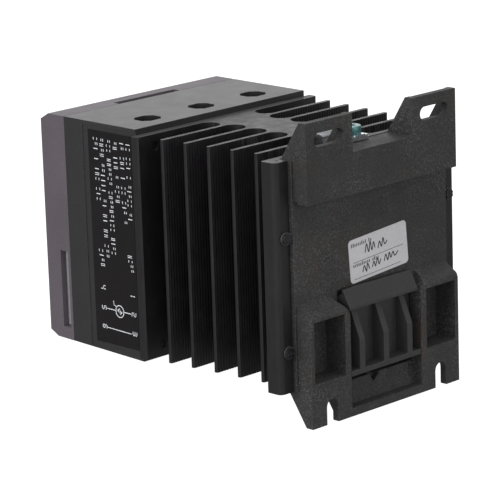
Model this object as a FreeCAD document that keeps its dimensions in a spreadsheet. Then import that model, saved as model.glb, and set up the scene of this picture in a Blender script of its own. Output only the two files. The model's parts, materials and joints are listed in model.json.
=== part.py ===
import FreeCAD, Part
import os, math

# Three-phase solid state power controller with finned heat sink and rail mount.
# Frame: X across the width (the side label is on +X), Y front (-) to back (+),
# Z up.  The origin lies on the back mounting plane, midway across the width,
# at half the height of the heat sink.  All dimensions in millimetres.

V = FreeCAD.Vector
os.makedirs("parts", exist_ok=True)
doc = FreeCAD.newDocument("relay")

P = doc.addObject("Spreadsheet::Sheet", "P")
sizes = [
    ("sink_half_height", 39.5), ("sink_half_width", 44.05), ("sink_front_y", -76.5),
    ("sink_plate_t", 3.6), ("fin_first_y", -64.8), ("fin_pitch", 10.2), ("fin_t", 1.5),
    ("fin_first_reach", 41.3), ("fin_step_in", 1.08), ("fin_count", 5), ("spine_half", 7.6),
    ("flange_front_y", -13.8), ("flange_back_y", -7.4), ("flange_corner", 2.0),
    ("flange_recess_half", 38.1), ("flange_recess_y", -11.5),
    ("serration_pitch", 1.2), ("serration_depth", 0.22),
    ("plate_half", 36.9), ("sheet_half", 37.9), ("sheet_front_y", -11.4), ("sheet_back_y", -5.9),
    ("ear_top", 52.4), ("ear_inner", 14.5), ("ear_t", 2.7), ("ear_base", 39.3),
    ("ledge_z", 24.8), ("groove_top", 25.6), ("slot_x", 25.9), ("slot_z", 46.1),
    ("slot_len", 14.0), ("slot_w", 4.65), ("gusset_t", 2.4),
    ("plate_bottom", -51.7), ("boss_top", -9.6), ("boss_back_top", -13.4),
    ("notch_x", 27.2), ("notch_w", 5.4), ("notch_apex", -43.0),
    ("channel_half", 17.6), ("channel_floor_y", -7.6), ("channel_bottom", -37.9),
    ("pocket_in", 20.3), ("pocket_out", 35.2), ("pocket_top", -15.2), ("pocket_bottom", -36.4),
    ("recess_bottom", -48.8), ("recess_depth", 4.3),
    ("latch_half", 17.4), ("latch_tip", -8.2), ("latch_rib_x", 11.9), ("latch_rib_w", 2.6),
    ("latch_bar_top", -35.9), ("latch_bar_bottom", -37.7), ("latch_travel", 3.0),
    ("house_half", 41.6), ("house_top", 41.5), ("house_back_y", -76.8), ("parting_y", -113.5),
    ("house_wall", 2.2), ("house_low_back", -41.4), ("house_low_front", -40.2),
    ("cover_front_y", -126.0), ("cover_bevel_y", -122.0), ("cover_edge_top", 39.2),
    ("cover_edge_bottom", -38.2), ("wire_x", 25.9), ("wire_y", -87.2), ("wire_w", 9.2),
    ("wire_d", 8.4), ("screw_z", 30.0), ("screw_access_r", 4.6), ("terminal_pitch", 0.8),
    ("cage_half", 5.0), ("cage_len", 9.0), ("cage_wall", 1.6), ("cage_back_y", -81.4),
    ("cage_front_y", -96.2), ("bar_y", -90.4), ("bar_t", 1.4), ("head_r", 3.7), ("head_y", -105.6),
    ("shank_r", 2.4), ("board_y", -100.0), ("board_t", 1.6), ("plug_front_y", -121.8),
    ("plug_x_in", 30.6), ("plug_x_out", 39.0), ("plug_z_low", -35.8), ("plug_z_high", -8.2),
    ("label_t", 0.15), ("label_y_back", -79.3), ("label_y_front", -101.4),
    ("label_z_low", -38.0), ("label_z_high", 38.6),
    ("ground_y", -13.4), ("ground_x", 1.4), ("ground_head_r", 3.7), ("ground_head_low", 41.25), ("ground_head_top", 44.3),
    ("strip_screw_x", 40.2), ("strip_screw_zhi", 13.6), ("strip_screw_zlo", -25.4),
]
for i, (alias, value) in enumerate(sizes):
    row = i + 1
    P.set("A%d" % row, alias)
    P.set("B%d" % row, str(value))
    P.setAlias("B%d" % row, alias)
doc.recompute()


def g(alias):
    return float(P.get(alias))


def ex(s):
    # turns "house_half*2" into an expression on the sheet
    out = ""
    word = ""
    for ch in str(s) + " ":
        if ch.isalnum() or ch == "_":
            word += ch
        else:
            if word and (word[0].isalpha()) and word not in ("sin", "cos", "sqrt"):
                word = "P." + word
            out += word + ch
            word = ""
    return out.strip()


count = [0]


def put(o, x, y, z):
    o.setExpression("Placement.Base.x", ex(x))
    o.setExpression("Placement.Base.y", ex(y))
    o.setExpression("Placement.Base.z", ex(z))


def box(x0, x1, y0, y1, z0, z1):
    count[0] += 1
    o = doc.addObject("Part::Box", "Box%d" % count[0])
    o.setExpression("Length", ex("(%s)-(%s)" % (x1, x0)))
    o.setExpression("Width", ex("(%s)-(%s)" % (y1, y0)))
    o.setExpression("Height", ex("(%s)-(%s)" % (z1, z0)))
    put(o, x0, y0, z0)
    return o


def cyl(r, length, x, y, z, axis="z"):
    # a cylinder starting at (x, y, z) and running along the +axis
    count[0] += 1
    o = doc.addObject("Part::Cylinder", "Cyl%d" % count[0])
    o.setExpression("Radius", ex(r))
    o.setExpression("Height", ex(length))
    if axis == "y":
        o.Placement = FreeCAD.Placement(V(0, 0, 0), FreeCAD.Rotation(V(1, 0, 0), -90))
    elif axis == "x":
        o.Placement = FreeCAD.Placement(V(0, 0, 0), FreeCAD.Rotation(V(0, 1, 0), 90))
    put(o, x, y, z)
    return o


def fuse(items):
    if len(items) == 1:
        return items[0]
    count[0] += 1
    o = doc.addObject("Part::MultiFuse", "Fuse%d" % count[0])
    o.Shapes = items
    o.Refine = True
    return o


def cut(a, tools):
    count[0] += 1
    o = doc.addObject("Part::Cut", "Cut%d" % count[0])
    o.Base = a
    o.Tool = fuse(tools)
    o.Refine = True
    return o


def solid(shape, name):
    # a shape computed from the sheet's sizes
    o = doc.addObject("Part::Feature", name)
    o.Shape = shape
    o.Placement = FreeCAD.Placement(V(0, 0, 0), FreeCAD.Rotation())
    return o


def prism_x(pts, x0, x1, name):
    # profile given as (y, z), run from x0 to x1
    w = Part.makePolygon([V(x0, y, z) for y, z in pts + [pts[0]]])
    return solid(Part.Face(w).extrude(V(x1 - x0, 0, 0)), name)


def prism_z(pts, z0, z1, name):
    w = Part.makePolygon([V(x, y, z0) for x, y in pts + [pts[0]]])
    return solid(Part.Face(w).extrude(V(0, 0, z1 - z0)), name)


def prism_y(pts, y0, y1, name):
    w = Part.makePolygon([V(x, y0, z) for x, z in pts + [pts[0]]])
    return solid(Part.Face(w).extrude(V(0, y1 - y0, 0)), name)


def group(shapes, name):
    return solid(Part.makeCompound(shapes), name)


nodes = []


def node(o, label):
    o.Label = label
    nodes.append(o)
    return o


# ---------------------------------------------------------------- heat sink
H = g("sink_half_height")
W = g("sink_half_width")
yf = g("sink_front_y")
yp = yf + g("sink_plate_t")
pitch = g("fin_pitch")
ft = g("fin_t")
sp = g("spine_half")
sd = g("serration_depth")
spitch = g("serration_pitch")
nfin = int(g("fin_count"))


def serrated(xa, xb, y, way, outward):
    # a run of small teeth along X from xa to xb on the face at y
    n = max(1, int(abs(xb - xa) / spitch))
    step = (xb - xa) / n
    pts = []
    for k in range(n):
        pts.append((xa + step * k, y))
        pts.append((xa + step * (k + 0.5), y + outward * sd))
    pts.append((xb, y))
    return pts


def root_arc(xr, ya, yb, side):
    # rounded slot bottom from (.., ya) to (.., yb) bulging towards the spine
    r = abs(yb - ya) / 2.0
    yc = (ya + yb) / 2.0
    pts = []
    for k in range(1, 12):
        a = math.pi * k / 12.0
        pts.append((side * (xr + r - r * math.sin(a)), yc - (yb - ya) / 2.0 * math.cos(a)))
    return pts


half = [(0.0, yf), (W - 0.4, yf), (W, yf + 0.4), (W, yp - 0.5), (W - 0.5, yp)]
prev = yp
for k in range(nfin + 1):
    ys = g("fin_first_y") + k * pitch if k < nfin else g("flange_front_y")
    r = (ys - prev) / 2.0
    xr = sp + (2.6 if k == 0 else 0.0)
    half.append((xr + r, prev))
    half += root_arc(xr, prev, ys, 1)
    half.append((xr + r, ys))
    if k < nfin:
        reach = g("fin_first_reach") - k * g("fin_step_in")
        half += serrated(xr + r + 1.5, reach - 0.6, ys, 1, -1)
        half += [(reach - 0.25, ys + 0.0), (reach, ys + 0.4), (reach, ys + ft - 0.4), (reach - 0.25, ys + ft)]
        half += serrated(reach - 0.6, sp + (pitch - ft) / 2.0 + 1.5, ys + ft, -1, 1)
        prev = ys + ft
fb = g("flange_back_y")
fy = g("flange_front_y")
fc = g("flange_corner")
half += [(W - 0.3, fy), (W, fy + 0.3)]
for k in range(0, 9):
    a = math.pi / 2.0 * k / 8.0
    half.append((W - fc + fc * math.cos(a), fb - fc + fc * math.sin(a)))
half += [(g("flange_recess_half"), fb), (g("flange_recess_half"), g("flange_recess_y")), (0.0, g("flange_recess_y"))]
clean = []
for p in half:
    if not clean or (abs(p[0] - clean[-1][0]) > 1e-6 or abs(p[1] - clean[-1][1]) > 1e-6):
        clean.append(p)
left = [(-x, y) for x, y in reversed(clean) if x > 1e-9]
profile = clean + left
sink_blank = prism_z(profile, -H, H, "SinkProfile")
hx, hz = 35.8, 35.4
mx, mz = 28.0, 21.5
holes = []
for sx in (-1, 1):
    for sz in (-1, 1):
        holes.append(cyl("1.65", "sink_plate_t+1.0", sx * hx, "sink_front_y-0.5", sz * hz, "y"))
        holes.append(cyl("1.25", "sink_plate_t+1.0", sx * mx, "sink_front_y-0.5", sz * mz, "y"))
        sz_alias = "strip_screw_zhi" if sz > 0 else "strip_screw_zlo"
        holes.append(cyl("0.95", "3.4", "%d*strip_screw_x" % sx, "flange_back_y-2.9", sz_alias, "y"))
holes.append(cyl("1.75", "9.0", "ground_x", "ground_y", "sink_half_height-8.4", "z"))
holes.append(cyl("0.6", "2.0", "40.3", "-10.0", "sink_half_height-1.2", "z"))
holes.append(cyl("0.6", "2.0", "-40.3", "-10.0", "sink_half_height-1.2", "z"))
node(cut(sink_blank, holes), "heat_sink")

# ------------------------------------------------------------ mounting plate
ph = g("plate_half")
sheet = box("-sheet_half", "sheet_half", "sheet_front_y", "sheet_back_y", "-39.3", "ear_base")
upper = box("-plate_half", "plate_half", "sheet_front_y", "0", "ledge_z", "ear_base")
bf = g("boss_top")
bb = g("boss_back_top")
pb = g("plate_bottom")
sfy = g("sheet_front_y")
sby = g("sheet_back_y")
lower = prism_x([(sfy, bf), (sby, bf), (-1.0, bb + 0.8), (-0.3, bb + 0.1), (0, bb - 0.7), (0, pb), (-3.0, pb), (sfy, -39.3)],
                -ph, ph, "LowerBody")
bodies = [sheet, upper, lower]
et = g("ear_top")
eb = g("ear_base")
ti = g("ear_t")
gt = g("gusset_t")
for s in (-1, 1):
    a, b = ("ear_inner", "plate_half") if s > 0 else ("-plate_half", "-ear_inner")
    bodies.append(box(a, b, "-ear_t", "0", "ear_base-1", "ear_top"))
    for x0 in (g("ear_inner"), ph - gt):
        lo, hi = (x0, x0 + gt) if s > 0 else (-x0 - gt, -x0)
        bodies.append(prism_x([(-3.05, et), (-1.0, et), (-1.0, eb - 1), (sfy, eb - 1), (sfy, eb + 0.2)], lo, hi,
                              "Gusset%d_%d" % (s + 1, int(x0))))
    # tabs that carry the small strip screws
    for zc in ("strip_screw_zhi", "strip_screw_zlo"):
        if s > 0:
            bodies.append(box("sheet_half-1", "strip_screw_x", "flange_back_y+0.02", "flange_back_y+0.7", zc + "-1.6", zc + "+1.6"))
        else:
            bodies.append(box("-strip_screw_x", "-sheet_half+1", "flange_back_y+0.02", "flange_back_y+0.7", zc + "-1.6", zc + "+1.6"))
        bodies.append(cyl("2.3", "0.68", "%d*strip_screw_x" % s, "flange_back_y+0.02", zc, "y"))
plate_all = fuse(bodies)
cuts = []
# rail groove under the upper ledge
cuts.append(box("-plate_half-1", "plate_half+1", "sheet_back_y", "sheet_back_y+1.25", "ledge_z-0.5", "groove_top"))
# hollow of the upper section, open towards the heat sink
cuts.append(box("-33.9", "33.9", "sheet_front_y-1", "-2.6", "ledge_z+3.2", "ear_base-2.6"))
sx_ = g("slot_x")
for s in (-1, 1):
    # long mounting slots in the ears
    l2 = g("slot_len") / 2.0 - g("slot_w") / 2.0
    cuts.append(box("%d*slot_x-(slot_len-slot_w)/2" % s, "%d*slot_x+(slot_len-slot_w)/2" % s, "-5", "1", "slot_z-slot_w/2", "slot_z+slot_w/2"))
    cuts.append(cyl("slot_w/2", "6", "%d*slot_x-(slot_len-slot_w)/2" % s, "-5", "slot_z", "y"))
    cuts.append(cyl("slot_w/2", "6", "%d*slot_x+(slot_len-slot_w)/2" % s, "-5", "slot_z", "y"))
    # open-ended notches at the bottom
    cuts.append(box("%d*notch_x-notch_w/2" % s, "%d*notch_x+notch_w/2" % s, "-6", "1", "plate_bottom-1", "notch_apex-notch_w/2"))
    cuts.append(cyl("notch_w/2", "7", "%d*notch_x" % s, "-6", "notch_apex-notch_w/2", "y"))
    # space in front of the notched tabs, open downwards
    a, b = ("22.5", "34.5") if s > 0 else ("-34.5", "-22.5")
    cuts.append(box(a, b, "sheet_front_y-1", "-2.7", "plate_bottom-1", "-39.0"))
    # pockets in the side bosses
    a, b = ("pocket_in", "pocket_out") if s > 0 else ("-pocket_out", "-pocket_in")
    cuts.append(box(a, b, "-9.2", "1", "pocket_bottom", "pocket_top"))
    # side guide grooves of the latch
    a, b = ("channel_half-1", "channel_half+1.2") if s > 0 else ("-channel_half-1.2", "-channel_half+1")
    cuts.append(box(a, b, "channel_floor_y", "-5.4", "channel_bottom-3", "-16.0"))
    # flare at the top of the latch channel
    x1 = g("channel_half")
    pts = [(s * (x1 - 3), bf + 4), (s * (x1 + 3.4), bf + 4), (s * (x1 + 3.4), bf - 1.2), (s * x1, bf - 6.0), (s * (x1 - 3), bf - 6.0)]
    cuts.append(prism_y(pts, g("sheet_back_y"), 1.0, "Flare%d" % (s + 1)))
    # spring pockets
    cuts.append(box("%d*6-2.3" % s, "%d*6+2.3" % s, "sheet_front_y-0.5", "channel_floor_y+0.5", "-34.0", "-16.0"))
    # holes for the strip screws
    cuts.append(cyl("1.15", "3", "%d*strip_screw_x" % s, "flange_back_y-0.5", "strip_screw_zhi", "y"))
    cuts.append(cyl("1.15", "3", "%d*strip_screw_x" % s, "flange_back_y-0.5", "strip_screw_zlo", "y"))
# latch channel
cuts.append(box("-channel_half", "channel_half", "channel_floor_y", "1", "channel_bottom-3.2", "boss_top+0.8"))
# lower recess with a sloping floor
rb = g("recess_bottom")
cuts.append(prism_x([(1, -36.0), (-g("recess_depth") - 1.2, -36.0), (-g("recess_depth") - 1.2, -41.0), (-3.9, rb), (1, rb)],
                    -g("channel_half"), g("channel_half"), "LowerRecess"))
# small three-sided hole beside the crossbar
cuts.append(prism_y([(3.3, -40.9), (-1.8, -41.4), (1.7, -43.8)], -7.4, 1.0, "TriHole"))
node(cut(plate_all, cuts), "mounting_plate")

# ------------------------------------------------------------------- latch
lh = g("latch_half")
tip = g("latch_tip")
parts = []
hook = prism_x([(-7.5, -16.4), (-7.5, -11.0), (-5.85, -11.0), (-5.85, -10.2), (-4.55, -10.2), (-4.55, tip), (-3.9, tip), (-0.9, -14.0), (-0.9, -15.0), (-4.4, -16.4)],
               -16.9, 16.9, "HookBar")
parts.append(hook)
parts.append(box("-latch_half", "latch_half", "-7.5", "-5.6", "latch_bar_bottom", "-16.2"))
parts.append(box("-18.6", "18.6", "-7.5", "-5.6", "-35.0", "-17.5"))
for xc in (-g("latch_rib_x"), 0.0, g("latch_rib_x")):
    parts.append(prism_x([(-6.0, -15.6), (-4.2, -15.6), (-0.15, -25.6), (-0.15, -36.5), (-6.0, -36.5)],
                         xc - g("latch_rib_w") / 2, xc + g("latch_rib_w") / 2, "Rib%d" % int(xc + 20)))
parts.append(box("-latch_half", "latch_half", "-7.5", "-0.15", "latch_bar_bottom", "latch_bar_top"))
for s in (-1, 1):
    parts.append(box("%d*6-1.9" % s, "%d*6+1.9" % s, "-10.9", "-7.0", "-20.4", "-18.0"))
node(fuse(parts), "rail_latch")

# two return springs under the latch lugs
springs = []
for s in (-1, 1):
    hel = Part.makeHelix(2.1, 12.4, 1.35)
    prof = Part.Wire([Part.makeCircle(0.28, V(1.35, 0, 0), V(0, 1, 0))])
    pipe = Part.Wire(hel).makePipeShell([prof], True, True)
    pipe.translate(V(s * 6.0, -9.35, -33.3))
    springs.append(pipe)
node(group(springs, "Springs"), "latch_springs")

# small screws through the side strips
small = []
for s in (-1, 1):
    for z in (g("strip_screw_zhi"), g("strip_screw_zlo")):
        x = s * g("strip_screw_x")
        y0 = fb + 0.72
        head = Part.makeCylinder(1.75, 0.6, V(x, y0, z), V(0, 1, 0))
        shank = Part.makeCylinder(0.93, 3.6, V(x, y0 - 3.5, z), V(0, 1, 0))
        slot = Part.makeBox(3.6, 0.4, 0.5, V(x - 1.8, y0 + 0.3, z - 0.25))
        small.append(head.fuse(shank).cut(slot))
node(group(small, "StripScrews"), "plate_screws")

# ----------------------------------------------------------- earth terminal
gy = g("ground_y")
gz = g("ground_head_low")
lug_tongue = box("ground_x-4.6", "9.5", "ground_y-4.2", "ground_y+4.2", "39.55", "40.55")
barrel = cyl("3.5", "13.0", "8.3", "ground_y-2.1", "43.05", "x")
barrel_foot = box("8.3", "21.3", "ground_y-5.5", "ground_y+1.3", "39.55", "43.05")
lug = fuse([lug_tongue, barrel, barrel_foot])
node(cut(lug, [cyl("2.3", "14.0", "9.9", "ground_y-2.1", "43.05", "x"),
               cyl("2.2", "3.0", "ground_x", "ground_y", "38.9", "z"),
               cyl("1.45", "6.0", "15.7", "ground_y-2.1", "44.0", "z")]), "ground_lug")
saddle = fuse([box("ground_x-4.2", "ground_x+4.2", "ground_y-4.2", "ground_y+4.2", "40.6", "41.2"),
               box("ground_x-2.4", "ground_x+2.4", "ground_y+3.85", "ground_y+4.45", "40.6", "41.6")])
node(cut(saddle, [cyl("1.85", "3", "ground_x", "ground_y", "40", "z")]), "ground_washer")
gx = g("ground_x")
ghead = Part.makeCylinder(g("ground_head_r"), g("ground_head_top") - gz, V(gx, gy, gz))
ghead = ghead.makeFillet(0.5, [e for e in ghead.Edges if abs(e.BoundBox.ZMin - g("ground_head_top")) < 1e-3 and e.Closed])
gshank = Part.makeCylinder(1.72, 10.0, V(gx, gy, gz - 9.9))
cross = Part.makeBox(5.0, 1.0, 2.0, V(gx - 2.5, gy - 0.5, g("ground_head_top") - 1.6)).fuse(
    Part.makeBox(1.0, 5.0, 2.0, V(gx - 0.5, gy - 2.5, g("ground_head_top") - 1.6)))
node(solid(ghead.fuse(gshank).cut(cross), "GroundScrewShape"), "ground_screw")
ls = Part.makeCylinder(1.40, 2.5, V(15.7, gy - 2.1, 45.42)).cut(Part.makeBox(3.2, 0.5, 0.8, V(14.1, gy - 2.35, 47.3)))
node(solid(ls, "LugScrewShape"), "lug_screw")

# ------------------------------------------------------------------ housing
hh = g("house_half")
ht = g("house_top")
hb = g("house_back_y")
py = g("parting_y")
wl = g("house_wall")


def low(y):
    t = (y - g("cover_bevel_y")) / (hb - g("cover_bevel_y"))
    return g("house_low_front") + t * (g("house_low_back") - g("house_low_front"))


outer = prism_x([(py, ht), (hb, ht), (hb, low(hb)), (py, low(py))], -hh, hh, "HouseOuter")
inner = prism_x([(py - 1, ht - wl), (hb - 2.2, ht - wl), (hb - 2.2, low(hb) + wl), (py - 1, low(py) + wl)],
                -hh + wl, hh - wl, "HouseInner")
hcuts = [inner]
hcuts.append(box("-33.2", "33.2", "house_back_y-3", "house_back_y+1", "-30.2", "30.2"))
# label recess on the +X side
hcuts.append(box("house_half-0.35", "house_half+1", "-104.1", "house_back_y+1", "-40.2", "40.4"))
for k in (-1, 0, 1):
    for s, z0, z1 in ((1, "house_top-3", "house_top+1"), (-1, "-house_top-1", "-house_top+4.0")):
        wx_, wy_, a_, b_, c_ = k * g("wire_x"), g("wire_y"), g("wire_w") / 2, g("wire_d") / 2, 2.3
        zz0, zz1 = (ht - 3, ht + 1) if s > 0 else (-ht - 1, -ht + 4)
        hcuts.append(prism_z([(wx_ - a_, wy_ - b_ + c_), (wx_ - a_ + c_, wy_ - b_), (wx_ + a_ - c_, wy_ - b_), (wx_ + a_, wy_ - b_ + c_),
                              (wx_ + a_, wy_ + b_ - c_), (wx_ + a_ - c_, wy_ + b_), (wx_ - a_ + c_, wy_ + b_), (wx_ - a_, wy_ + b_ - c_)],
                             zz0, zz1, "WireHole%d_%d" % (k + 1, s + 1)))
for s1 in (-1, 1):
    for s2 in (-1, 1):
        hcuts.append(cyl("1.8", "4", s1 * hx, "house_back_y-3", s2 * hz, "y"))
shell = cut(outer, hcuts)
ribs = [shell]
# partitions between the phases, above and below, with lips that hold the screws
for s in (1, -1):
    z0, z1 = (22.0, ht - wl + 0.1) if s > 0 else (low(-90) + wl - 0.4, -22.0)
    for x in (-37.0, -13.0, 13.0, 33.0):
        ya = -103.0 if x < 30 or s > 0 else -97.5
        ribs.append(solid(Part.makeBox(1.4, -81.8 - ya, z1 - z0, V(x - 0.7, ya, z0)), "Part%d_%d" % (s + 1, int(x + 50))))
node(fuse(ribs), "housing_base")

fyc = g("cover_front_y")
byc = g("cover_bevel_y")
cov_o = prism_x([(py - 0.12, ht), (py - 0.12, low(py)), (byc, g("house_low_front")), (fyc, g("cover_edge_bottom")), (fyc, g("cover_edge_top")), (byc, ht)],
                -hh, hh, "CoverOuter")
cov_i = prism_x([(py + 1, ht - wl), (py + 1, low(py) + wl), (byc + 1, g("house_low_front") + wl), (fyc + wl, g("cover_edge_bottom") + 1.0), (fyc + wl, g("cover_edge_top") - 1.0), (byc + 1, ht - wl)],
                -hh + wl, hh - wl, "CoverInner")
ccuts = [cov_i]
for k in (-1, 0, 1):
    for s in (-1, 1):
        ccuts.append(cyl("screw_access_r", "6", "%d*wire_x" % k, "cover_front_y-1", "%d*screw_z" % s, "y"))
# opening for the control plug, side window and top and bottom release slots
ccuts.append(box("plug_x_in-0.6", "plug_x_out+0.3", "cover_front_y-1", "cover_front_y+4", "plug_z_low-0.5", "plug_z_high+0.5"))
ccuts.append(box("house_half-4", "house_half+1", "-118.8", "-114.9", "plug_z_low-0.2", "plug_z_high+0.4"))
ccuts.append(box("-14.8", "15.0", "-116.8", "-113.3", "house_top-4", "house_top+1"))
ccuts.append(box("-14.8", "15.0", "-116.4", "-114.4", "-house_top-1", "-house_top+6"))
ccuts.append(cyl("1.62", "6", "-30.0", "cover_front_y-1", "4.0", "y"))
ccuts.append(box("-26.2", "26.2", "cover_front_y-1", "cover_front_y+0.2", "-12.2", "12.2"))
cover = cut(cov_o, ccuts)
tabs = [cover]
for x in (-28.0, 28.0):
    tabs.append(solid(Part.makeBox(8.0, 8.0, 1.4, V(x - 4.0, py - 5.0, ht - wl - 1.6)), "TabTop%d" % int(x + 50)))
    tabs.append(solid(Part.makeBox(8.0, 5.5, 2.0, V(x - 4.0, py - 5.5, ht - wl - 1.6)), "TabRoot%d" % int(x + 50)))
node(fuse(tabs), "front_cover")

# --------------------------------------------------------- power electronics
node(cut(box("-32.9", "32.9", "house_back_y", "sink_front_y-0.02", "-29.9", "29.9"),
         [cyl("1.7", "2", s1 * mx, "house_back_y-0.5", s2 * mz, "y") for s1 in (-1, 1) for s2 in (-1, 1)]), "thermal_pad")
mb = cut(box("-32.9", "32.9", "house_back_y-3.0", "house_back_y-0.02", "-29.9", "29.9"),
         [cyl("1.6", "4", s1 * mx, "house_back_y-3.5", s2 * mz, "y") for s1 in (-1, 1) for s2 in (-1, 1)])
node(mb, "module_base")
my = hb - 3.0
node(group([Part.makeBox(17.0, 0.64, 34.0, V(x - 8.5, my - 0.68, -17.0)) for x in (-g("wire_x") + 4.0, 0.0, g("wire_x") - 4.0)], "Tiles"), "ceramic_tiles")
ty = my - 0.68
node(group([Part.makeBox(9.0, 0.5, 9.0, V(x - 4.5, ty - 0.54, z - 4.5)) for x in (-g("wire_x") + 4.0, 0.0, g("wire_x") - 4.0) for z in (-10.0, 10.0)], "Dies"), "thyristor_dies")
dy = ty - 0.54
bars = []
by = g("bar_y")
for k in (-1, 0, 1):
    for s in (-1, 1):
        xm = k * (g("wire_x") - 4.0)
        xw = k * g("wire_x")
        foot = Part.makeBox(6.0, 1.0, 7.0, V(xm - 3.0, dy - 1.04, s * 10.0 - 3.5))
        leg = Part.makeBox(6.0, abs(by - dy) - 0.0, 1.2, V(xm - 3.0, by, s * 13.5 - 0.6))
        x0, x1 = min(xm, xw) - 3.6, max(xm, xw) + 3.6
        bridge = Part.makeBox(x1 - x0, g("bar_t"), 5.0, V(x0, by - g("bar_t"), s * 15.3 - 2.5))
        za, zb = (13.5, 35.6) if s > 0 else (-35.6, -13.5)
        bar = Part.makeBox(7.2, g("bar_t"), zb - za, V(xw - 3.6, by - g("bar_t"), za))
        bars.append(foot.fuse([leg, bridge, bar]).removeSplitter())
node(group(bars, "Bars"), "busbars")

# ------------------------------------------------------------- terminals
cages = []
idx = 0
for s in (1, -1):
    for k in (1, 0, -1):
        idx += 1
        xw = k * g("wire_x")
        zc = s * g("screw_z")
        cy0 = g("cage_front_y")
        cy1 = g("cage_back_y")
        ch = g("cage_half")
        cl = g("cage_len")
        cw = g("cage_wall")
        o = Part.makeBox(2 * ch, cy1 - cy0, cl, V(xw - ch, cy0, zc - cl / 2))
        i = Part.makeBox(2 * (ch - 1.3), cy1 - cy0 - 2.4 - cw, cl + 2, V(xw - ch + 1.3, cy0 + 2.4, zc - cl / 2 - 1))
        hole = Part.makeCylinder(g("shank_r") + 0.05, 4.0, V(xw, cy0 - 0.5, zc), V(0, 1, 0))
        cage = solid(o.cut(i).cut(hole), "CageShape%d" % idx)
        node(cage, "terminal_cage_%d" % idx)
        hr = g("head_r")
        hy = g("head_y")
        head = Part.makeCylinder(hr, 3.0, V(xw, hy, zc), V(0, 1, 0))
        shank = Part.makeCylinder(g("shank_r"), by - g("bar_t") - 0.1 - (hy + 2.9), V(xw, hy + 2.9, zc), V(0, 1, 0))
        slot = Part.makeBox(2 * hr + 1, 1.4, 1.0, V(xw - hr - 0.5, hy - 0.3, zc - 0.5))
        slot2 = Part.makeBox(1.0, 1.8, 4.6, V(xw - 0.5, hy - 0.3, zc - 2.3))
        node(solid(head.fuse(shank).cut(slot).cut(slot2), "TScrewShape%d" % idx), "terminal_screw_%d" % idx)

# ------------------------------------------------------------ control board
post_at = ((-34.0, 18.0), (-34.0, -18.0), (11.0, 19.0), (11.0, -19.0))
board = fuse([box("-37.0", "36.0", "board_y-board_t", "board_y", "-21.6", "21.6"),
              box("31.3", "39.2", "board_y-board_t", "board_y", "-36.6", "-20.0"),
              box("-36.0", "39.2", "board_y-board_t", "board_y", "-7.0", "7.0")])
node(cut(board, [cyl("1.6", "4", x, "board_y-3", z, "y") for x, z in post_at]), "circuit_board")
posts = []
for x, z in post_at:
    posts.append(Part.makeCylinder(2.4, 20.0, V(x, -99.96, z), V(0, 1, 0)).fuse(
        Part.makeCylinder(1.55, 3.0, V(x, -102.2, z), V(0, 1, 0))))
node(group(posts, "Posts"), "board_posts")
bfy = g("board_y") - g("board_t")
caps = []
for x, z in ((-24.0, 9.0), (-26.5, -2.0), (-12.0, 12.0)):
    c = Part.makeCylinder(4.0, 9.0, V(x, bfy - 9.05, z), V(0, 1, 0))
    caps.append(c.makeFillet(0.5, [e for e in c.Edges if e.Closed and abs(e.BoundBox.YMin - (bfy - 9.05)) < 1e-3]))
node(group(caps, "Caps"), "capacitors")
mov = []
for x in (-21.9, 0.0, 21.9):
    d = Part.makeCylinder(6.2, 4.0, V(x, bfy - 7.3, -12.0), V(1, 0, 0))
    mov.append(d.makeFillet(1.0, d.Edges[0:1]))
node(group(mov, "Varistors"), "varistors")
node(group([Part.makeBox(6.4, 3.4, 4.6, V(x - 3.2, bfy - 3.45, z - 2.3)) for x in (-2.0, 8.0, 18.0) for z in (2.0, 12.0)], "Optos"), "optocouplers")
res = []
for i in range(6):
    res.append(Part.makeBox(1.6, 0.7, 3.2, V(-15.0 + i * 5.0, bfy - 0.74, -5.6)))
node(group(res, "Resistors"), "resistors")
node(solid(Part.makeCylinder(1.5, 3.0, V(-30.0, bfy - 3.04, 4.0), V(0, 1, 0)), "LedShape"), "status_led")
pipe_len = (bfy - 3.3) - (fyc - 0.3)
lp = Part.makeCylinder(1.55, pipe_len, V(-30.0, fyc - 0.3, 4.0), V(0, 1, 0))
lp = lp.fuse(Part.makeCylinder(2.4, 1.0, V(-30.0, fyc + wl + 0.05, 4.0), V(0, 1, 0)))
node(solid(lp, "PipeShape"), "light_pipe")

# ------------------------------------------------------- control connector
px0, px1 = g("plug_x_in"), g("plug_x_out")
pz0, pz1 = g("plug_z_low"), g("plug_z_high")
pfy = g("plug_front_y")
hd = Part.makeBox(px1 - px0 - 0.8, 7.6, pz1 - pz0, V(px0 + 0.4, bfy - 7.65, pz0))
hd_in = Part.makeBox(px1 - px0 - 3.2, 6.2, pz1 - pz0 - 2.0, V(px0 + 1.6, bfy - 7.8, pz0 + 1.0))
zs = [pz0 + 4.0 + i * 5.0 for i in range(5)]
pin_holes = [Part.makeBox(1.1, 3.0, 1.1, V((px0 + px1) / 2 - 0.55, bfy - 2.5, z - 0.55)) for z in zs]
hd = hd.cut(hd_in)
for h_ in pin_holes:
    hd = hd.cut(h_)
node(solid(hd, "HeaderShape"), "control_header")
node(group([Part.makeBox(1.0, 5.6, 1.0, V((px0 + px1) / 2 - 0.5, bfy - 5.65, z - 0.5)) for z in zs], "Pins"), "header_pins")
pl = Part.makeBox(px1 - px0, (bfy - 7.75) - pfy, pz1 - pz0, V(px0, pfy, pz0))
pl = pl.fuse(Part.makeBox(px1 - px0 - 3.4, 5.9, pz1 - pz0 - 2.2, V(px0 + 1.7, bfy - 7.8, pz0 + 1.1)))
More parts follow.
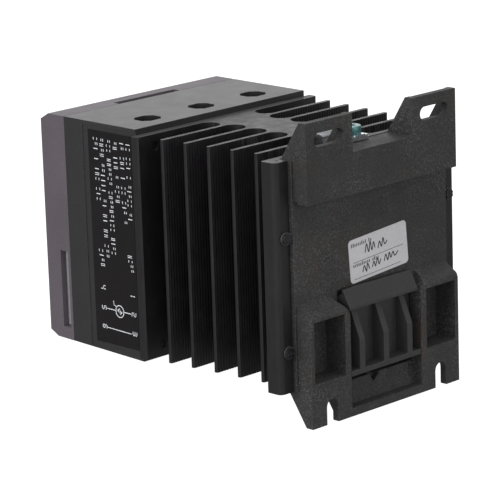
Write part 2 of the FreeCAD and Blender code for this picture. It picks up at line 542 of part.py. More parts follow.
for z in zs:
    pl = pl.cut(Part.makeCylinder(1.5, 3.2, V(px0 + 2.3, pfy - 0.1, z), V(0, 1, 0)))
    pl = pl.cut(Part.makeBox(2.8, 6.0, 3.0, V(px1 - 3.6, pfy - 0.1, z - 1.5)))
    pl = pl.cut(Part.makeBox(1.1, 5.0, 1.1, V((px0 + px1) / 2 - 0.55, bfy - 5.9, z - 0.55)))
node(solid(pl, "PlugShape"), "control_plug")
for i, z in enumerate(zs):
    c = Part.makeCylinder(1.45, 2.0, V(px0 + 2.3, pfy + 1.0, z), V(0, 1, 0))
    node(solid(c.cut(Part.makeBox(3.2, 0.6, 0.5, V(px0 + 0.7, pfy + 0.9, z - 0.25))), "PlugScrewShape%d" % (i + 1)), "plug_screw_%d" % (i + 1))

# ----------------------------------------------------------- fixing screws
fs = []
for s1 in (-1, 1):
    for s2 in (-1, 1):
        hd_ = Part.makeCylinder(3.0, 2.2, V(s1 * hx, hb - 2.2 - 2.25, s2 * hz), V(0, 1, 0))
        sh_ = Part.makeCylinder(1.6, 5.6, V(s1 * hx, hb - 2.3, s2 * hz), V(0, 1, 0))
        fs.append(hd_.fuse(sh_).cut(Part.makeCylinder(1.2, 1.2, V(s1 * hx, hb - 4.5, s2 * hz), V(0, 1, 0))))
node(group(fs, "HouseScrews"), "housing_screws")
ms = []
for s1 in (-1, 1):
    for s2 in (-1, 1):
        hd_ = Part.makeCylinder(2.6, 1.8, V(s1 * mx, my - 1.82, s2 * mz), V(0, 1, 0))
        sh_ = Part.makeCylinder(1.2, 6.2, V(s1 * mx, my - 0.1, s2 * mz), V(0, 1, 0))
        ms.append(hd_.fuse(sh_).cut(Part.makeCylinder(1.1, 1.0, V(s1 * mx, my - 1.9, s2 * mz), V(0, 1, 0))))
node(group(ms, "ModuleScrews"), "module_screws")

# ------------------------------------------------------------------ labels
lt = g("label_t")
node(box("house_half-0.34", "house_half-0.34+label_t", "label_y_front", "label_y_back", "label_z_low", "label_z_high"), "side_label")
rw, rh, rr, rt = 28.8, 15.2, 1.5, math.radians(4.2)
pts = []
for cx_, cz_, a0 in ((rw / 2 - rr, rh / 2 - rr, 0), (-rw / 2 + rr, rh / 2 - rr, 90), (-rw / 2 + rr, -rh / 2 + rr, 180), (rw / 2 - rr, -rh / 2 + rr, 270)):
    for k in range(0, 7):
        a = math.radians(a0 + 15.0 * k)
        u, w_ = cx_ + rr * math.cos(a), cz_ + rr * math.sin(a)
        pts.append((u * math.cos(rt) + w_ * math.sin(rt) - 3.0, -u * math.sin(rt) + w_ * math.cos(rt) + 0.6))
w_ = Part.makePolygon([V(x, sby + 0.01, z) for x, z in pts + [pts[0]]])
rl = Part.Face(w_).extrude(V(0, lt, 0))
node(solid(rl, "RearLabelShape"), "rear_label")
node(box("-26.0", "26.0", "cover_front_y+0.03", "cover_front_y+0.03+label_t", "-12.0", "12.0"), "front_label")

# ---------------------------------------------------------------- checking
doc.recompute()
for o in doc.Objects:
    bad = [st for st in o.State if st in ("Invalid", "Error")]
    if bad:
        raise RuntimeError("feature %s is %s" % (o.Name, bad))
labels = set()
for o in nodes:
    s = o.Shape
    if s.isNull() or not s.isValid() or not s.Solids:
        raise RuntimeError("bad shape in %s" % o.Label)
    if o.Label in labels:
        raise RuntimeError("label used twice: %s" % o.Label)
    labels.add(o.Label)
for o in nodes:
    o.Shape.exportStep("parts/%s.step" % o.Label)
    bb_ = o.Shape.BoundBox
    print("%-18s solids %2d vol %10.2f  x %7.2f %7.2f  y %8.2f %8.2f  z %7.2f %7.2f" % (
        o.Label, len(o.Shape.Solids), o.Shape.Volume, bb_.XMin, bb_.XMax, bb_.YMin, bb_.YMax, bb_.ZMin, bb_.ZMax))
print("nodes", len(nodes))
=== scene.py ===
import json
import math
import random

import bpy
import bmesh
from mathutils import Matrix, Vector


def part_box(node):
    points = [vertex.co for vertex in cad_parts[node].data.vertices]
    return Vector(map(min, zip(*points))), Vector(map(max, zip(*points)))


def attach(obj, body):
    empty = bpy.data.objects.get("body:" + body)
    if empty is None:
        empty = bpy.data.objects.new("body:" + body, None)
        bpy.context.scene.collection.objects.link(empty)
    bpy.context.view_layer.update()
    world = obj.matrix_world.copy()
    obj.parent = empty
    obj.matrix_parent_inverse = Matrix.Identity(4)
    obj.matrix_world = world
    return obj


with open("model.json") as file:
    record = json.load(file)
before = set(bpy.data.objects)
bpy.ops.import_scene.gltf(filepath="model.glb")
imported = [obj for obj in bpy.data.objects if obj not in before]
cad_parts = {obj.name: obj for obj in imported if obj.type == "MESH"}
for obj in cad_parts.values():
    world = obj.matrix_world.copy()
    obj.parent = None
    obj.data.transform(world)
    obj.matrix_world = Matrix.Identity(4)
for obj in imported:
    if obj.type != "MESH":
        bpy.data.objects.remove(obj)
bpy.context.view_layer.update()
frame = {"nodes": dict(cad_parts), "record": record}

N = frame["nodes"]
S = bpy.context.scene
S.view_settings.view_transform = "Standard"
S.view_settings.look = "None"
MM = 0.001

# ------------------------------------------------------------------ camera
az, el, roll = (math.radians(a) for a in (135.545, 14.469, -1.875))
back = Vector((math.sin(az) * math.cos(el), -math.cos(az) * math.cos(el), math.sin(el)))
x0 = Vector((0, 0, 1)).cross(back).normalized()
y0 = back.cross(x0)
X = math.cos(roll) * x0 + math.sin(roll) * y0
Y = -math.sin(roll) * x0 + math.cos(roll) * y0
cam_data = bpy.data.cameras.new("camera")
cam_data.sensor_width = 36.0
cam_data.lens = 212.422
cam_data.clip_start = 0.05
cam_data.clip_end = 30.0
cam = bpy.data.objects.new("camera", cam_data)
S.collection.objects.link(cam)
cam.rotation_mode = "QUATERNION"
cam.rotation_quaternion = Matrix((X, Y, back)).transposed().to_quaternion()
cam.location = (0.70586127, 0.65455760, 0.25242783)
S.camera = cam

# ----------------------------------------------------------- world and lights
world = bpy.data.worlds.new("studio")
S.world = world
world.use_nodes = True
world.node_tree.nodes["Background"].inputs["Color"].default_value = (1.0, 1.0, 1.0, 1)
world.node_tree.nodes["Background"].inputs["Strength"].default_value = 0.30


def area(name, place, target, size, size_y, power):
    d = bpy.data.lights.new(name, "AREA")
    d.shape = "RECTANGLE"
    d.size, d.size_y, d.energy = size, size_y, power
    o = bpy.data.objects.new(name, d)
    S.collection.objects.link(o)
    o.location = place
    o.rotation_mode = "QUATERNION"
    o.rotation_quaternion = (Vector(target) - Vector(place)).to_track_quat("-Z", "Y")
    o.visible_camera = False
    return o


area("top_softbox", (0.05, 0.05, 1.3), (0, -0.05, 0), 1.6, 1.6, 12.0)
area("far_softbox", (-1.25, -1.35, 0.62), (0, -0.05, 0.0), 2.4, 0.8, 6.2)
area("rear_softbox", (-0.30, 1.5, 0.26), (0, -0.02, 0), 1.3, 1.1, 5.4)
area("side_softbox", (1.5, -0.15, 0.42), (0.02, -0.04, 0), 1.2, 1.0, 11.0)
area("front_fill", (1.05, 1.0, 0.12), (0, -0.02, 0), 1.0, 0.8, 3.6)

# ------------------------------------------------------------------- floor
bm = bmesh.new()
bmesh.ops.create_grid(bm, x_segments=8, y_segments=8, size=8.0)
me = bpy.data.meshes.new("floor")
bm.to_mesh(me)
bm.free()
floor = bpy.data.objects.new("floor", me)
S.collection.objects.link(floor)
floor.location = (0, 0, -0.0530)
fm = bpy.data.materials.new("floor_white")
fm.use_nodes = True
fb = fm.node_tree.nodes["Principled BSDF"]
fb.inputs["Base Color"].default_value = (0.25, 0.25, 0.25, 1)
fb.inputs["Roughness"].default_value = 0.9
fb.inputs["Specular IOR Level"].default_value = 0.0
fb.inputs["Emission Color"].default_value = (1, 1, 1, 1)
fb.inputs["Emission Strength"].default_value = 1.0
me.materials.append(fm)
floor.visible_glossy = False
floor.visible_diffuse = False
floor.visible_transmission = False


# --------------------------------------------------------------- materials
def nd(t, kind, **k):
    n = t.nodes.new(kind)
    for a, v in k.items():
        setattr(n, a, v)
    return n


def noise(t, co, scale, detail=3.0, rough=0.55, stretch=None):
    n = nd(t, "ShaderNodeTexNoise")
    n.inputs["Scale"].default_value = scale
    n.inputs["Detail"].default_value = detail
    n.inputs["Roughness"].default_value = rough
    if stretch:
        m = nd(t, "ShaderNodeMapping")
        m.inputs["Scale"].default_value = stretch
        t.links.new(co, m.inputs["Vector"])
        co = m.outputs["Vector"]
    t.links.new(co, n.inputs["Vector"])
    return n.outputs["Fac"]


def ramp(t, fac, stops):
    r = nd(t, "ShaderNodeValToRGB")
    r.color_ramp.elements[0].position = stops[0][0]
    r.color_ramp.elements[0].color = (*stops[0][1], 1)
    r.color_ramp.elements[1].position = stops[-1][0]
    r.color_ramp.elements[1].color = (*stops[-1][1], 1)
    for p, c in stops[1:-1]:
        e = r.color_ramp.elements.new(p)
        e.color = (*c, 1)
    t.links.new(fac, r.inputs["Fac"])
    return r.outputs["Color"]


def maprange(t, v, a, b, c, d):
    m = nd(t, "ShaderNodeMapRange")
    for k, x in zip(("From Min", "From Max", "To Min", "To Max"), (a, b, c, d)):
        m.inputs[k].default_value = x
    t.links.new(v, m.inputs["Value"])
    return m.outputs["Result"]


def math_node(t, op, a, b=None):
    m = nd(t, "ShaderNodeMath", operation=op)
    for i, v in enumerate((a, b)):
        if v is None:
            continue
        if isinstance(v, (int, float)):
            m.inputs[i].default_value = v
        else:
            t.links.new(v, m.inputs[i])
    return m.outputs[0]


def mix(t, fac, a, b, blend="MIX"):
    m = nd(t, "ShaderNodeMix", data_type="RGBA", blend_type=blend)
    if isinstance(fac, (int, float)):
        m.inputs["Factor"].default_value = fac
    else:
        t.links.new(fac, m.inputs["Factor"])
    for i, v in ((6, a), (7, b)):
        if isinstance(v, tuple):
            m.inputs[i].default_value = (*v, 1)
        else:
            t.links.new(v, m.inputs[i])
    return m.outputs[2]


def scaled(c, f):
    return tuple(max(0.0, min(1.0, x * f)) for x in c)


def make(name, colour, rough=0.5, var=0.18, broad=45.0, fine=1800.0, fine_amount=0.12, bump=0.15, bump_size=0.00006,
         metallic=0.0, spec=0.5, stretch=None, edge=0.0, edge_r=0.00035, edge_colour=None, speck=None, sawn_ends_and_sheen=None,
         smudge=None, coat=0.0, coat_rough=0.1, rough_var=0.10, transmission=0.0, ior=1.5, streak=None, up_face_grey=0.0, glow=None):
    """A worn studio finish: broad and fine colour variation, uneven roughness, fine bump, lighter edges that are rubbed
    wear and, on the screws, painted glints.
    """
    m = bpy.data.materials.new(name)
    m.use_nodes = True
    t = m.node_tree
    p = t.nodes["Principled BSDF"]
    co = nd(t, "ShaderNodeTexCoord").outputs["Object"]
    big = noise(t, co, broad, 4.0, 0.6)
    small = noise(t, co, fine, 2.0, 0.6, stretch)
    col = ramp(t, big, [(0.30, scaled(colour, 1 - var)), (0.70, scaled(colour, 1 + var))])
    if fine_amount:
        g = ramp(t, small, [(0.28, (0.5 - 0.5 * fine_amount,) * 3), (0.72, (0.5 + 0.5 * fine_amount,) * 3)])
        col = mix(t, 1.0, col, g, "MULTIPLY")
        col = mix(t, 1.0, col, col, "ADD")
    if speck:
        v = nd(t, "ShaderNodeTexVoronoi")
        v.inputs["Scale"].default_value = speck[0]
        t.links.new(co, v.inputs["Vector"])
        mask = ramp(t, v.outputs["Distance"], [(0.0, (1, 1, 1)), (speck[1], (0, 0, 0))])
        lo = noise(t, co, 46.0, 5.0, 0.68)
        mask = mix(t, 1.0, mask, ramp(t, lo, [(0.42, (0.10, 0.10, 0.10)), (0.64, (1, 1, 1))]), "MULTIPLY")
        col = mix(t, mask, col, speck[2])
    if smudge:
        sm = noise(t, co, smudge[0], 3.0, 0.6, smudge[3])
        sm2 = noise(t, co, 28.0, 2.0, 0.5)
        k = math_node(t, "MULTIPLY", maprange(t, sm, 0.52, 0.66, 0.0, smudge[2]), maprange(t, sm2, 0.45, 0.62, 0.0, 1.0))
        col = mix(t, k, col, smudge[1])
    # painted sheen: faces that point up or down get a lighter, saw-marked colour that stands in for the sheen that
    # light gives the heat sink's end faces
    if sawn_ends_and_sheen:
        nrm = nd(t, "ShaderNodeTexCoord").outputs["Normal"]
        sx = nd(t, "ShaderNodeSeparateXYZ")
        t.links.new(nrm, sx.inputs[0])
        az_ = math_node(t, "ABSOLUTE", sx.outputs["Z"])
        k = maprange(t, az_, 0.85, 0.97, 0.0, 1.0)
        saw = noise(t, co, 260.0, 2.0, 0.5, sawn_ends_and_sheen[1])
        ec = ramp(t, saw, [(0.25, scaled(sawn_ends_and_sheen[0], 0.75)), (0.75, scaled(sawn_ends_and_sheen[0], 1.2))])
        col = mix(t, k, col, ec)
    # lighter edges: rubbed wear on the plastics; on the black and green screws the bright edge colour is a painted
    # glint
    if edge:
        bv = nd(t, "ShaderNodeBevel", samples=4)
        bv.inputs["Radius"].default_value = edge_r
        ge = nd(t, "ShaderNodeNewGeometry")
        dot = nd(t, "ShaderNodeVectorMath", operation="DOT_PRODUCT")
        t.links.new(bv.outputs[0], dot.inputs[0])
        t.links.new(ge.outputs["Normal"], dot.inputs[1])
        e = maprange(t, dot.outputs["Value"], 0.995, 0.86, 0.0, 1.0)
        edge_wear_and_glint_noise = noise(t, co, 420.0, 3.0, 0.6)
        e = math_node(t, "MULTIPLY", e, maprange(t, edge_wear_and_glint_noise, 0.38, 0.62, 0.25 * edge, edge))
        col = mix(t, e, col, edge_colour or scaled(colour, 3.0))
    # faces that point up are mixed towards light grey in a fine mottled pattern, which makes the tops lighter
    if up_face_grey:
        nrm = nd(t, "ShaderNodeTexCoord").outputs["Normal"]
        sx = nd(t, "ShaderNodeSeparateXYZ")
        t.links.new(nrm, sx.inputs[0])
        up = maprange(t, sx.outputs["Z"], 0.5, 1.0, 0.0, up_face_grey)
        up_face_mottle = noise(t, co, 700.0, 4.0, 0.7)
        col = mix(t, math_node(t, "MULTIPLY", up, maprange(t, up_face_mottle, 0.35, 0.7, 0.3, 1.0)), col, (0.32, 0.31, 0.32))
    t.links.new(col, p.inputs["Base Color"])
    rn = noise(t, co, broad * 3.0, 4.0, 0.6)
    t.links.new(maprange(t, rn, 0.3, 0.7, max(0.03, rough - rough_var), min(1.0, rough + rough_var)), p.inputs["Roughness"])
    p.inputs["Metallic"].default_value = metallic
    p.inputs["IOR"].default_value = ior
    p.inputs["Specular IOR Level"].default_value = spec
    p.inputs["Coat Weight"].default_value = coat
    p.inputs["Coat Roughness"].default_value = coat_rough
    p.inputs["Transmission Weight"].default_value = transmission
    if glow:
        p.inputs["Emission Color"].default_value = (*glow[0], 1)
        p.inputs["Emission Strength"].default_value = glow[1]
    b = nd(t, "ShaderNodeBump")
    b.inputs["Strength"].default_value = bump
    b.inputs["Distance"].default_value = bump_size
    t.links.new(small, b.inputs["Height"])
    t.links.new(b.outputs[0], p.inputs["Normal"])
    return m


M = {
    # black_anodised: the lighter end-face colour is painted sheen on the heat sink's top and bottom faces
    "black_anodised": make("black_anodised", (0.0125, 0.0110, 0.0125), 0.46, 0.25, 60, 2600, 0.22, 0.25, edge=0.30,
                           edge_colour=(0.07, 0.07, 0.075), sawn_ends_and_sheen=((0.060, 0.059, 0.060), (1, 9, 1)), stretch=(1, 1, 0.12), spec=0.42),
    "filled_plastic": make("filled_plastic", (0.0365, 0.0360, 0.0360), 0.62, 0.16, 42, 1350, 0.42, 0.8, 0.00010, edge=0.30,
                           edge_colour=(0.072, 0.071, 0.071), speck=(1150.0, 0.46, (0.155, 0.155, 0.152)),
                           smudge=(95.0, (0.050, 0.036, 0.030), 0.70, (1.0, 1.0, 0.5)), spec=0.40),
    "latch_plastic": make("latch_plastic", (0.038, 0.037, 0.0375), 0.52, 0.10, 50, 1500, 0.16, 0.25, edge=0.35,
                          edge_colour=(0.075, 0.073, 0.074), spec=0.45),
    "spring_steel": make("spring_steel", (0.42, 0.42, 0.44), 0.28, 0.1, 90, 1500, 0.12, 0.2, metallic=1.0),
    "zinc_steel": make("zinc_steel", (0.80, 0.82, 0.86), 0.20, 0.07, 120, 1600, 0.08, 0.10, metallic=1.0, edge=0.5,
                       edge_colour=(0.90, 0.91, 0.93), rough_var=0.06),
    # black_steel: the pale edge colour paints the glints on the small plate screws
    "black_steel": make("black_steel", (0.022, 0.021, 0.025), 0.30, 0.2, 300, 2500, 0.2, 0.3, metallic=0.4, edge=0.6,
                        edge_colour=(0.34, 0.33, 0.38), edge_r=0.00018),
    # green_screw: the pale teal edge colour paints highlights on the screw head
    "green_screw": make("green_screw", (0.075, 0.215, 0.215), 0.30, 0.22, 260, 1700, 0.2, 0.2, metallic=0.55, edge=0.7,
                        edge_colour=(0.45, 0.62, 0.62), coat=0.4),
    "housing_black": make("housing_black", (0.030, 0.0285, 0.0305), 0.36, 0.10, 40, 1500, 0.16, 0.22, edge=0.45,
                          edge_colour=(0.085, 0.082, 0.086), up_face_grey=0.04, spec=0.5, rough_var=0.025),
    "smoke_cover": make("smoke_cover", (0.132, 0.115, 0.132), 0.46, 0.10, 32, 1300, 0.10, 0.16, edge=0.35,
                        edge_colour=(0.20, 0.18, 0.205), speck=(320.0, 0.10, (0.22, 0.2, 0.22)), up_face_grey=0.0, spec=0.32, rough_var=0.03),
    "thermal_grey": make("thermal_grey", (0.30, 0.30, 0.31), 0.75, 0.1, 60, 900, 0.15, 0.3),
    "plated_base": make("plated_base", (0.62, 0.62, 0.60), 0.32, 0.1, 80, 1200, 0.1, 0.2, metallic=1.0, stretch=(1, 1, 0.1)),
    "white_ceramic": make("white_ceramic", (0.78, 0.77, 0.74), 0.55, 0.04, 80, 1500, 0.06, 0.2),
    "silicon": make("silicon", (0.10, 0.105, 0.12), 0.18, 0.12, 120, 1500, 0.06, 0.1, metallic=0.6),
    "tinned_copper": make("tinned_copper", (0.70, 0.70, 0.68), 0.34, 0.12, 140, 1400, 0.14, 0.25, metallic=1.0, edge=0.5,
                          edge_colour=(0.72, 0.50, 0.38)),
    "board_green": make("board_green", (0.018, 0.105, 0.045), 0.34, 0.14, 90, 2200, 0.3, 0.3, coat=0.4),
    "can_black": make("can_black", (0.02, 0.022, 0.032), 0.3, 0.12, 90, 1500, 0.1, 0.1, coat=0.3),
    "disc_blue": make("disc_blue", (0.03, 0.085, 0.25), 0.38, 0.14, 120, 1500, 0.16, 0.3, coat=0.3),
    "chip_black": make("chip_black", (0.018, 0.018, 0.019), 0.55, 0.12, 120, 2500, 0.2, 0.3),
    "chip_resistor": make("chip_resistor", (0.03, 0.03, 0.034), 0.42, 0.16, 160, 2000, 0.15, 0.2, edge=0.8, edge_colour=(0.6, 0.6, 0.6)),
    "led_body": make("led_body", (0.45, 0.045, 0.03), 0.16, 0.08, 160, 1600, 0.05, 0.05, coat=0.6),
    "clear_pipe": make("clear_pipe", (0.80, 0.82, 0.82), 0.12, 0.05, 100, 1200, 0.04, 0.05, transmission=0.7, ior=1.49),
    "plug_grey": make("plug_grey", (0.40, 0.39, 0.42), 0.45, 0.08, 60, 1400, 0.10, 0.15, edge=0.4, edge_colour=(0.6, 0.6, 0.62)),
    "label_black": make("label_black", (0.0085, 0.0070, 0.0082), 0.40, 0.30, 26, 1900, 0.30, 0.35, spec=0.26, edge=0.3,
                        edge_colour=(0.06, 0.06, 0.062)),
    "label_white": make("label_white", (0.66, 0.65, 0.675), 0.60, 0.04, 50, 1700, 0.07, 0.2, edge=0.25, edge_colour=(0.5, 0.49, 0.5)),
    "label_grey": make("label_grey", (0.42, 0.42, 0.44), 0.5, 0.07, 60, 1500, 0.08, 0.2),
}

slot_of = {}
for row in frame["record"].get("materials", []):
    names = row.get("nodes") or row.get("node") or []
    for n in [names] if isinstance(names, str) else names:
        slot_of[n] = row.get("slot")
FALLBACK = {}
missing = []
for name, o in N.items():
    key = slot_of.get(name)
    if key is None and o.data.materials and o.data.materials[0]:
        key = o.data.materials[0].name.split(".")[0]
    if key not in M:
        missing.append((name, key))
        key = "housing_black"
    if not o.material_slots:
        o.data.materials.append(M[key])
    for s in o.material_slots:
        s.link = "OBJECT"
        s.material = M[key]
print("MATERIALS missing", missing)

# --------------------------------------------------- softened edges on the CAD
BEVEL = {
    "housing_base": 0.00022, "front_cover": 0.00022, "mounting_plate": 0.00020, "rail_latch": 0.00022,
    "ground_screw": 0.00015, "ground_lug": 0.00018, "control_plug": 0.00012, "heat_sink": 0.00006,
}
for name, w in BEVEL.items():
    o = N[name]
    weld = o.modifiers.new("weld", "WELD")
    weld.merge_threshold = 1e-6
    b = o.modifiers.new("bevel", "BEVEL")
    b.width, b.segments, b.limit_method, b.angle_limit = w, 2, "ANGLE", math.radians(38)
    b.use_clamp_overlap = True
    b.harden_normals = False


# -------------------------------------------------------------------- helpers
def piece(name, bmx, mat, body):
    me = bpy.data.meshes.new(name)
    bmesh.ops.recalc_face_normals(bmx, faces=bmx.faces[:])
    bmx.to_mesh(me)
    bmx.free()
    me.materials.append(M[mat] if isinstance(mat, str) else mat)
    o = bpy.data.objects.new(name, me)
    S.collection.objects.link(o)
    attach(o, body)
    return o


def slab(bmx, pts, nrm, thick):
    """A thin closed plate over the polygon pts (metres), raised along nrm."""
    n = Vector(nrm) * thick
    lowv = [bmx.verts.new(p) for p in pts]
    topv = [bmx.verts.new(Vector(p) + n) for p in pts]
    bmx.faces.new(lowv[::-1])
    bmx.faces.new(topv)
    k = len(pts)
    for i in range(k):
        bmx.faces.new((lowv[i], lowv[(i + 1) % k], topv[(i + 1) % k], topv[i]))


def stroke(bmx, pts, width, nrm, thick):
    """A pen or print line of constant width through pts on a plane with normal nrm."""
    n = Vector(nrm)
    P = [Vector(p) for p in pts]
    L, R = [], []
    for i, p in enumerate(P):
        a = P[max(0, i - 1)]
        b = P[min(len(P) - 1, i + 1)]
        d = (b - a).normalized()
        s = d.cross(n).normalized() * width / 2
        L.append(p + s)
        R.append(p - s)
    slab_pts = L + R[::-1]
    nv = n * thick
    low = [bmx.verts.new(q) for q in slab_pts]
    top = [bmx.verts.new(q + nv) for q in slab_pts]
    k = len(P)
    m = len(slab_pts)
    for i in range(k - 1):
        bmx.faces.new((top[i], top[i + 1], top[m - 2 - i], top[m - 1 - i]))
        bmx.faces.new((low[m - 1 - i], low[m - 2 - i], low[i + 1], low[i]))
    for i in range(m):
        j = (i + 1) % m
        bmx.faces.new((low[i], low[j], top[j], top[i]))


ink_white = make("print_white", (0.86, 0.88, 0.93), 0.55, 0.10, 300, 3000, 0.25, 0.1)
ink_black = make("pen_black", (0.012, 0.012, 0.014), 0.5, 0.2, 300, 3000, 0.3, 0.1)
ink_grey = make("print_grey", (0.16, 0.16, 0.17), 0.55, 0.2, 400, 3000, 0.3, 0.1)

# --------------------------------------------- side label: greeked rows, digits
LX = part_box("side_label")[1].x + 0.000005
TH = 0.00003
rng = random.Random(7)


def side(y, z):
    return Vector((LX, y * MM, z * MM))


bmx = bmesh.new()
# rows run down the label: (y at top, z top, y at bottom, z bottom, word lengths)
rows = [
    (-81.0, 36.3, -81.2, 8.2, (2, 3, 1, 5, 2)),
    (-84.3, 36.4, -83.9, 6.7, (2, 3, 1, 2, 3, 1)),
    (-87.7, 36.0, -87.3, 13.8, (2, 3, 1, 4)),
    (-91.1, 36.3, -90.5, -5.3, (3, 6, 9, 4)),
    (-94.6, 36.4, -94.0, -6.9, (4, 6, 2, 2, 2, 3)),
    (-97.7, 36.5, -97.1, 13.3, (3, 1, 3, 3)),
    (-97.3, -3.6, -96.3, -10.4, (4,)),
    (-82.4, -3.6, -81.4, -10.3, (4,)),
]
for ya, za, yb, zb, words in rows:
    cells = sum(words) + len(words) - 1
    step = (zb - za) / cells
    k = 0
    for wn, w in enumerate(words):
        for c in range(w):
            f = (k + 0.5) / cells
            yc, zc = ya + (yb - ya) * f, za + (zb - za) * f
            h = 2.05 * rng.choice((1.0, 1.0, 0.92))
            wd = abs(step) * 0.50
            kind = rng.randrange(4)
            t = 0.30
            # each mark is a plain block or a pair of short bars that stands for print and spells nothing
            if kind == 0:
                bars = [(-h / 2, -h / 2 + t, -wd / 2, wd / 2), (h / 2 - t, h / 2, -wd / 2, wd / 2)]
            elif kind == 1:
                bars = [(-h / 2, h / 2, -0.17, 0.17)]
            elif kind == 2:
                bars = [(-h / 2, h / 2, -wd / 2, -wd / 2 + 0.26), (-h / 2, h / 2, wd / 2 - 0.26, wd / 2)]
            else:
                bars = [(-t / 2, t / 2, -wd / 2, wd / 2), (h / 2 - t, h / 2, -wd / 2, wd / 2)]
            for ylo, yhi, zlo, zhi in bars:
                slab(bmx, [side(yc + ylo, zc + zlo), side(yc + yhi, zc + zlo), side(yc + yhi, zc + zhi), side(yc + ylo, zc + zhi)],
                     (1, 0, 0), TH)
            k += 1
        k += 1
piece("side_label_rows", bmx, ink_white, "chassis")

# generic circuit symbol and lines
bmx = bmesh.new()
cy, cz, r = -88.7, -25.3, 2.15
ring = [side(cy + r * 0.95 * math.cos(a), cz + r * math.sin(a)) for a in [2 * math.pi * i / 28 for i in range(29)]]
stroke(bmx, ring, 0.00034, (1, 0, 0), TH)
for s in (-1, 1):
    tri = [side(cy + s * 0.1, cz - 1.25 * s), side(cy + s * 1.35, cz - 0.3 * s), side(cy - s * 0.5, cz + 0.95 * s)]
    slab(bmx, tri if s > 0 else tri, (1, 0, 0), TH)
stroke(bmx, [side(-90.8, cz + 0.1), side(-95.3, cz + 0.1)], 0.00032, (1, 0, 0), TH)
stroke(bmx, [side(-86.6, cz + 0.1), side(-82.9, cz + 0.1)], 0.00032, (1, 0, 0), TH)
stroke(bmx, [side(-90.1, -23.9), side(-91.6, -23.3), side(-91.8, -21.9)], 0.00030, (1, 0, 0), TH)
stroke(bmx, [side(-95.3, -32.2), side(-83.0, -32.5)], 0.00030, (1, 0, 0), TH)
piece("side_label_symbol", bmx, ink_white, "chassis")

# digits 1 to 6 as seven-stroke shapes, reading down the label
SEG = {"a": ((0, 1), (1, 1)), "b": ((1, 1), (1, 0.5)), "c": ((1, 0.5), (1, 0)), "d": ((0, 0), (1, 0)),
       "e": ((0, 0), (0, 0.5)), "f": ((0, 0.5), (0, 1)), "g": ((0, 0.5), (1, 0.5))}
DIG = {1: "bc", 2: "abged", 3: "abgcd", 4: "fgbc", 5: "afgcd", 6: "afgedc"}
bmx = bmesh.new()
for n_, y_, z_ in ((4, -96.8, -17.7), (5, -96.8, -25.1), (6, -96.8, -32.0), (1, -81.6, -18.0), (2, -81.4, -25.2), (3, -81.3, -32.2)):
    wd, ht = 1.15, 2.0
    for s in DIG[n_]:
        (ua, va), (ub, vb) = SEG[s]
        # the text's right is down (-Z) and its top is towards the back (+Y)
        A = side(y_ + (va - 0.5) * ht, z_ - (ua - 0.5) * wd)
        B = side(y_ + (vb - 0.5) * ht, z_ - (ub - 0.5) * wd)
        d = (B - A).normalized() * 0.00014
        stroke(bmx, [A - d, B + d], 0.00032, (1, 0, 0), TH)
piece("side_label_digits", bmx, ink_white, "chassis")

# ---------------------------------------------- rear label: rules and scribbles
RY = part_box("rear_label")[1].y + 0.000005
lo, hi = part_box("rear_label")
lc = Vector((-3.0, 0, 0.6))
ang = math.radians(4.2)


def rear(u, v):
    """u runs to the reader's right (towards -X), v up, in mm from the label's middle; the label is turned a little."""
    x = -u
    xr = x * math.cos(ang) + v * math.sin(ang) * 1.0
    zr = v * math.cos(ang) - x * math.sin(ang) * 1.0
    return Vector(((lc.x + xr) * MM, RY, (lc.z + zr) * MM))


# find which way the label is turned, from its own corners
co = [v.co for v in N["rear_label"].data.vertices]
top = max(co, key=lambda c: c.z)
if (top.x > lc.x * MM) == (rear(14.4, 7.6).z > rear(-14.4, 7.6).z):
    ang = -ang
bmx = bmesh.new()
stroke(bmx, [rear(-12.6, -0.6), rear(12.3, -0.6)], 0.00016, (0, 1, 0), TH)
stroke(bmx, [rear(-12.6, -6.4), rear(10.4, -6.4)], 0.00016, (0, 1, 0), TH)
piece("rear_label_rules", bmx, ink_black, "chassis")
bmx = bmesh.new()
for u0, v0, words in ((-13.2, 4.9, (9, 2)), (-12.8, -2.2, (10, 4))):
    u = u0
    for w in words:
        for c in range(w):
            h = rng.choice((1.0, 1.3, 0.9))
            slab(bmx, [rear(u, v0), rear(u + 0.5, v0), rear(u + 0.5, v0 + h), rear(u, v0 + h)][::1], (0, 1, 0), TH)
            u += 0.86
        u += 0.9
piece("rear_label_small_print", bmx, ink_grey, "chassis")


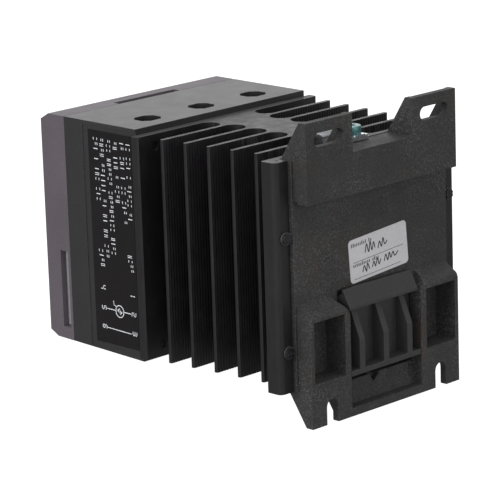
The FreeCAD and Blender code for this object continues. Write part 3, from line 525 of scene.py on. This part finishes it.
def smooth_line(pts, steps=7):
    P = [Vector((a, b, 0)) for a, b in pts]
    out = []
    for i in range(len(P) - 1):
        p0, p1, p2, p3 = P[max(0, i - 1)], P[i], P[i + 1], P[min(len(P) - 1, i + 2)]
        for k in range(steps):
            t = k / steps
            out.append(0.5 * ((2 * p1) + (-p0 + p2) * t + (2 * p0 - 5 * p1 + 4 * p2 - p3) * t * t + (-p0 + 3 * p1 - 3 * p2 + p3) * t ** 3))
    out.append(P[-1])
    return [(p.x, p.y) for p in out]


# scribbles only: loops that spell nothing
bmx = bmesh.new()
for pts in (
    [(-6.6, 1.6), (-5.6, 4.4), (-4.8, 1.4), (-3.8, 4.8), (-3.2, 1.6), (-2.2, 4.2), (-1.6, 2.0)],
    [(-0.2, 1.4), (0.8, 3.6), (1.6, 1.6), (2.6, 4.4), (3.2, 2.0), (4.6, 3.0)],
    [(-8.4, -4.8), (-7.4, -2.8), (-6.6, -5.0), (-5.8, -2.4), (-5.0, -4.6)],
    [(-3.6, -4.4), (-2.6, -2.6), (-2.0, -4.4), (-0.8, -2.0), (-0.2, -4.2), (0.8, -2.6)],
    [(2.4, -4.0), (3.4, -1.8), (4.2, -4.0), (5.2, -1.6), (5.8, -3.6), (7.0, -1.8), (7.8, -3.4), (9.6, -2.2)],
):
    stroke(bmx, [rear(a, b) for a, b in smooth_line(pts)], 0.00042, (0, 1, 0), TH)
piece("rear_label_scribble", bmx, ink_black, "chassis")

# -------------------------------------------- front label: plain printed panel
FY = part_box("front_label")[0].y - 0.000005
bmx = bmesh.new()
for i in range(6):
    zc = 8.6 - i * 3.0
    w = (38, 30, 42, 26, 34, 20)[i]
    u = -22.0
    while u < -22.0 + w:
        L_ = rng.choice((2.2, 3.6, 5.0, 1.4))
        slab(bmx, [Vector((u * MM, FY, zc * MM)), Vector(((u + L_) * MM, FY, zc * MM)), Vector(((u + L_) * MM, FY, (zc + 1.0) * MM)),
                   Vector((u * MM, FY, (zc + 1.0) * MM))], (0, -1, 0), TH)
        u += L_ + 0.9
piece("front_label_rows", bmx, ink_grey, "cover")
